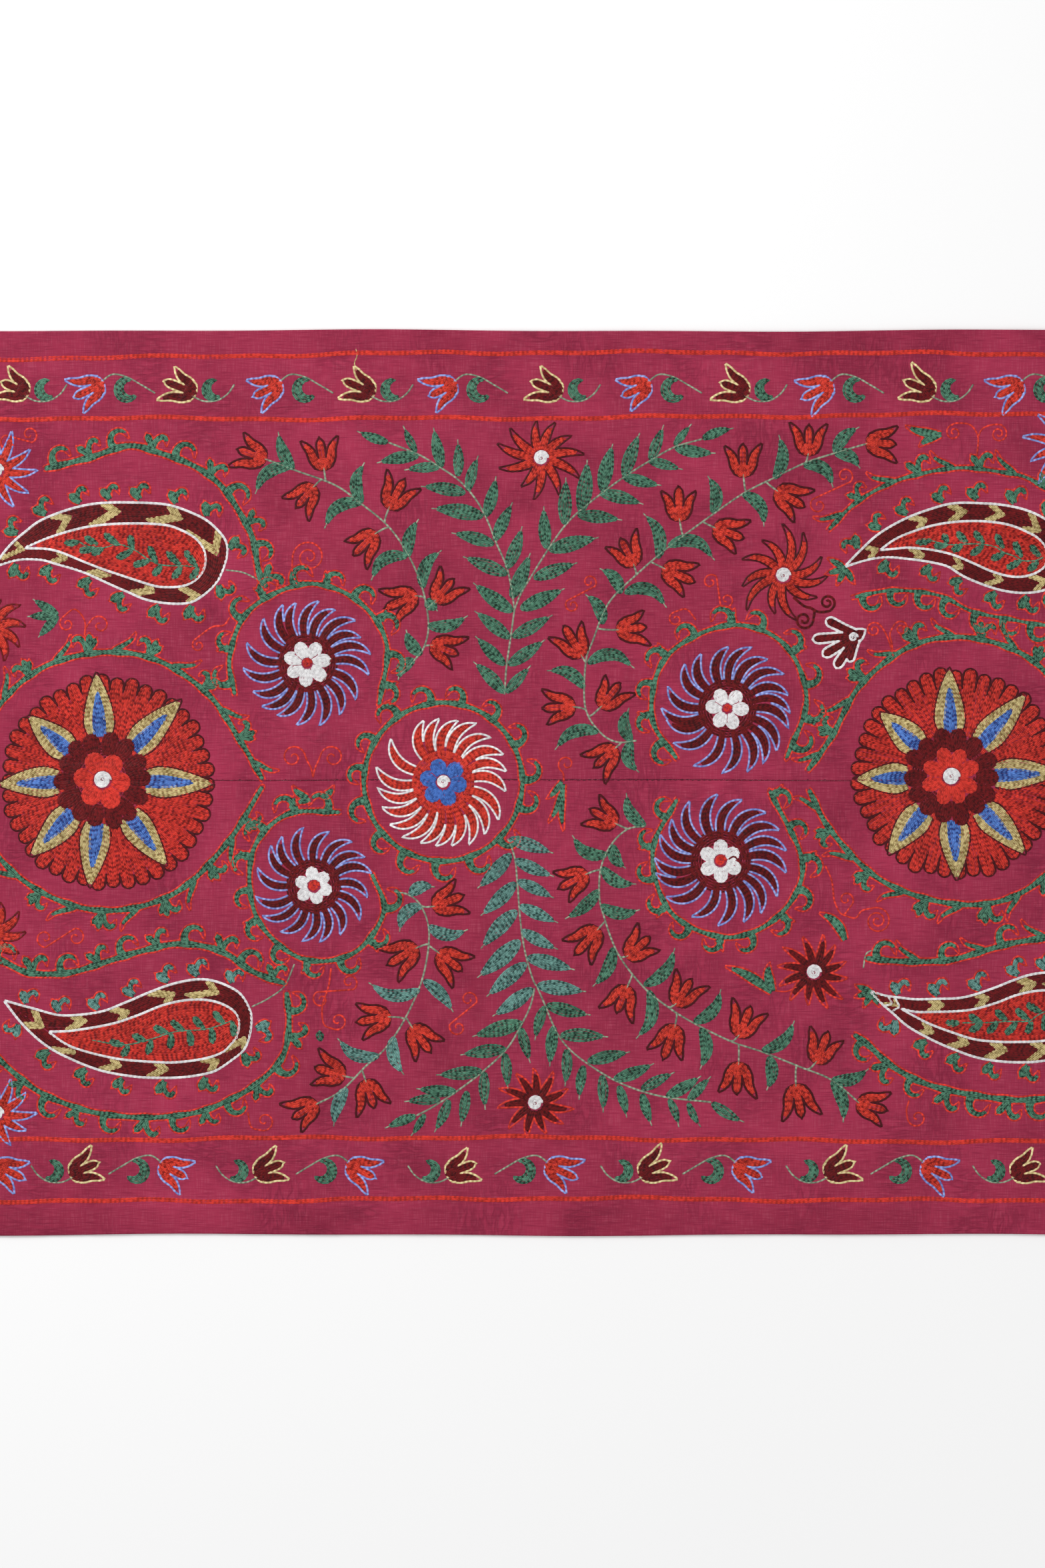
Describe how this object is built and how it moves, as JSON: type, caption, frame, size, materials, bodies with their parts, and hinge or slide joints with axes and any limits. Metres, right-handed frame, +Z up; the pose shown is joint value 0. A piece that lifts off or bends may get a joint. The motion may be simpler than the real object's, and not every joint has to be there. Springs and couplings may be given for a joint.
{
  "type": "suzani embroidered textile",
  "caption": "Rectangular cotton textile of two joined loom widths, laid flat, chain-stitched with rosettes, vines, tulips and a border.",
  "frame": {"origin": "under the middle of the cloth, on the surface it lies on", "axes": "+X along the borders and the centre seam, +Y across the seam to the upper border, +Z up out of the embroidered face"},
  "size_m": [1.145, 0.75, 0.0033],
  "materials": {
    "cotton": "plain-woven madder cotton, matt, with silky chain-stitch embroidery"
  },
  "bodies": {
    "root": {"panel_upper": "cotton", "panel_lower": "cotton"}
  },
  "joints": []
}
